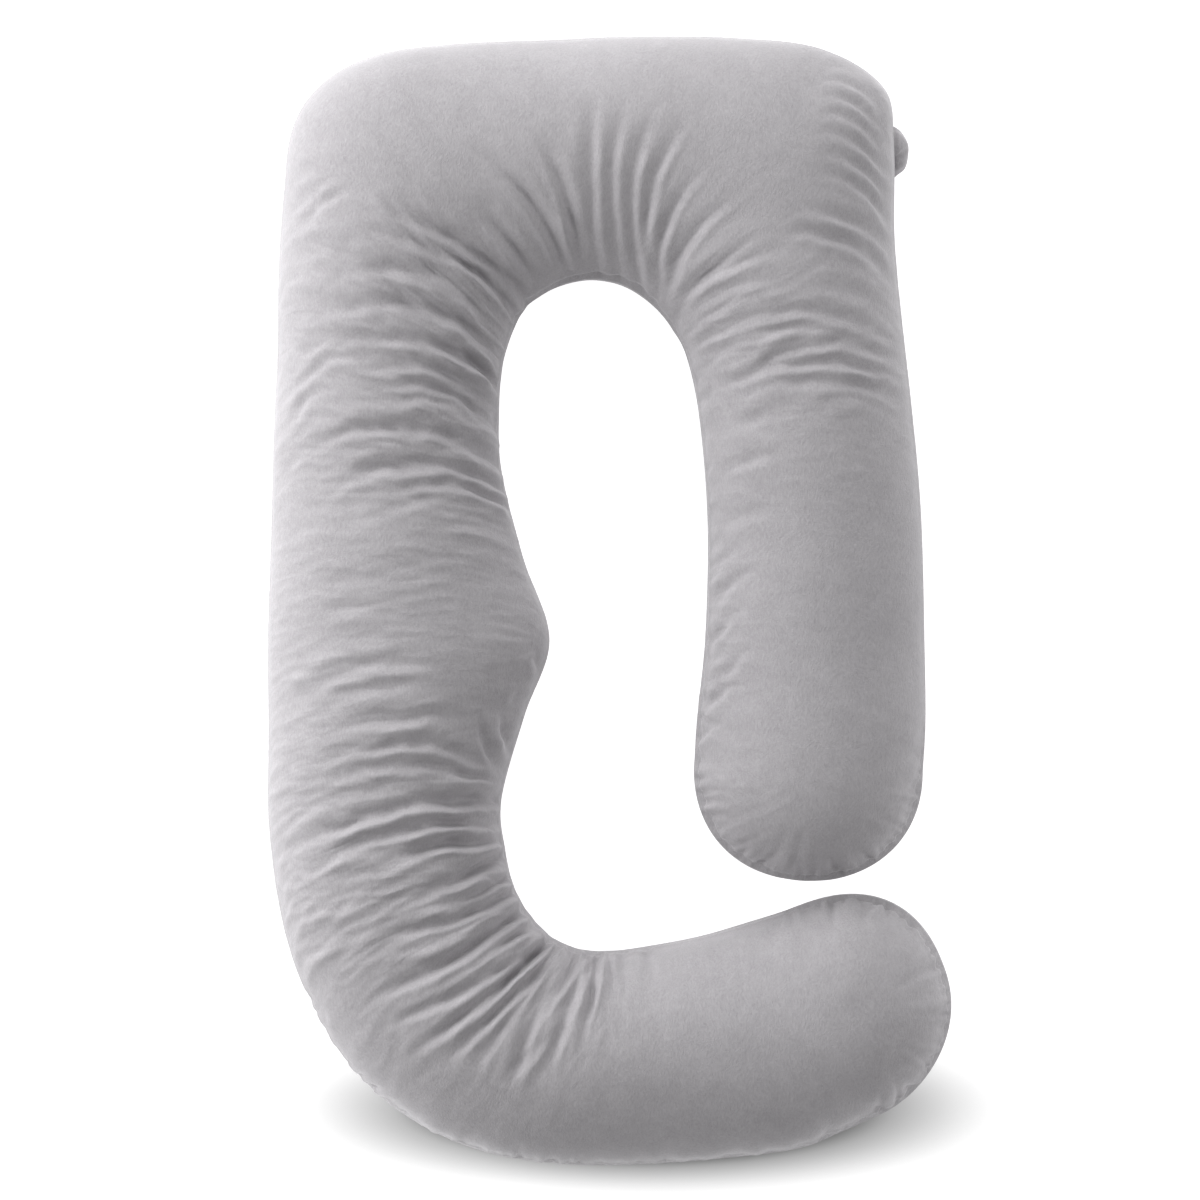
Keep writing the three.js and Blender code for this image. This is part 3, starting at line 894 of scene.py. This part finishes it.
def settle(piece):
    """A short cloth simulation, its result capped and written to the mesh."""
    corners = piece.data.vertices
    lying = np.empty((len(corners), 3), np.float32)
    corners.foreach_get("co", lying.ravel())
    cut = np.empty_like(lying)
    piece.data.attributes["cut_place"].data.foreach_get("vector", cut.ravel())
    piece.shape_key_add(name="lying")
    cut_shape = piece.shape_key_add(name="cut")
    cut_shape.data.foreach_set("co", cut.ravel())
    cloth = piece.modifiers.new("settle", "CLOTH")
    cloth.settings.quality = SETTLE_QUALITY
    cloth.settings.rest_shape_key = cut_shape
    cloth.settings.vertex_group_mass = "held"
    cloth.settings.effector_weights.gravity = 0
    cloth.settings.use_pressure = True
    cloth.settings.uniform_pressure_force = FILLING_PRESSURE
    cloth.collision_settings.use_collision = False
    cloth.point_cache.frame_end = SETTLE_FRAMES
    for number in range(1, SETTLE_FRAMES + 1):
        bpy.context.scene.frame_set(number)
    settled = np.empty_like(lying)
    evaluated = piece.evaluated_get(bpy.context.evaluated_depsgraph_get())
    evaluated.data.vertices.foreach_get("co", settled.ravel())
    piece.modifiers.remove(cloth)
    piece.shape_key_clear()
    bpy.context.scene.frame_set(1)
    shift = settled - lying
    reach = np.linalg.norm(shift, axis=1, keepdims=True)
    settled = lying + shift * np.minimum(1, SETTLE_CAP * MM / np.maximum(reach, SETTLE_CAP * MM))
    settled[:, 2] = np.maximum(settled[:, 2], 0)
    corners.foreach_set("co", settled.ravel())
    piece.data.update()


settle(pillow)
pillow.vertex_groups.clear()
pillow_mesh.attributes.remove(pillow_mesh.attributes["cut_place"])
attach(pillow, "root")
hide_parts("pillow")

# The shoulder tuck
# A bunch of spare cover cloth pushed out behind the right shoulder, in the same plush.
# It is a ball drawn in along its creases and pleats, and flattened where it rests against the pillow's side.
TUCK_PLACE = (342.0, 563.0, 74.0)
TUCK_REACH = (34.0, 37.0, 29.0)
TUCK_GAP = 0.5
TUCK_CREASES = [
    # heading of the crease's side in degrees, offset from the middle, depth on the upper side, spread
    (128.0, -0.57, 0.3, 0.13),
    (0.0, 0.485, 0.12, 0.06),
]
TUCK_SUBDIVISIONS = 5
TUCK_UNEVENNESS = 0.08
TUCK_UNEVENNESS_SCALE = 2
TUCK_SEED = 51
TUCK_PLEATS = 8
TUCK_PLEAT_DEPTH = 0.16
outer_y = loop["edge_y"][:SIDE_COLUMNS // 2, 0]
tuck_shape = bmesh.new()
bmesh.ops.create_icosphere(tuck_shape, subdivisions=TUCK_SUBDIVISIONS, radius=1)
for corner in tuck_shape.verts:
    u = corner.co.x * TUCK_UNEVENNESS_SCALE
    v = corner.co.y * TUCK_UNEVENNESS_SCALE
    size = 1 + TUCK_UNEVENNESS * float(cloth_noise(u, v, TUCK_SEED))
    for heading, offset, depth, spread in TUCK_CREASES:
        side = math.cos(math.radians(heading)) * corner.co.x + math.sin(math.radians(heading)) * corner.co.y
        size -= depth * max(corner.co.z, 0) * math.exp(-(((side - offset) / spread) ** 2))
    pleat = (1 - math.cos(TUCK_PLEATS * math.atan2(corner.co.z, corner.co.y))) / 2
    size -= TUCK_PLEAT_DEPTH * pleat * (1 - abs(corner.co.x)) * (1 - max(corner.co.z, 0))
    place = [middle + reach * size * way for middle, reach, way in zip(TUCK_PLACE, TUCK_REACH, corner.co)]
    beside = int(np.argmin(np.abs(outer_y - place[1])))
    wall = np.interp(place[2], cover_z[beside], cover_x[beside])
    corner.co = (max(place[0], wall + TUCK_GAP) * MM, place[1] * MM, place[2] * MM)
for face in tuck_shape.faces:
    face.smooth = True
tuck_mesh = bpy.data.meshes.new("plush_tuck")
tuck_shape.to_mesh(tuck_mesh)
tuck_shape.free()
tuck_mesh.materials.append(plush)
tuck = place_object("plush_tuck", tuck_mesh)
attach(tuck, "root")
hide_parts("shoulder_tuck")
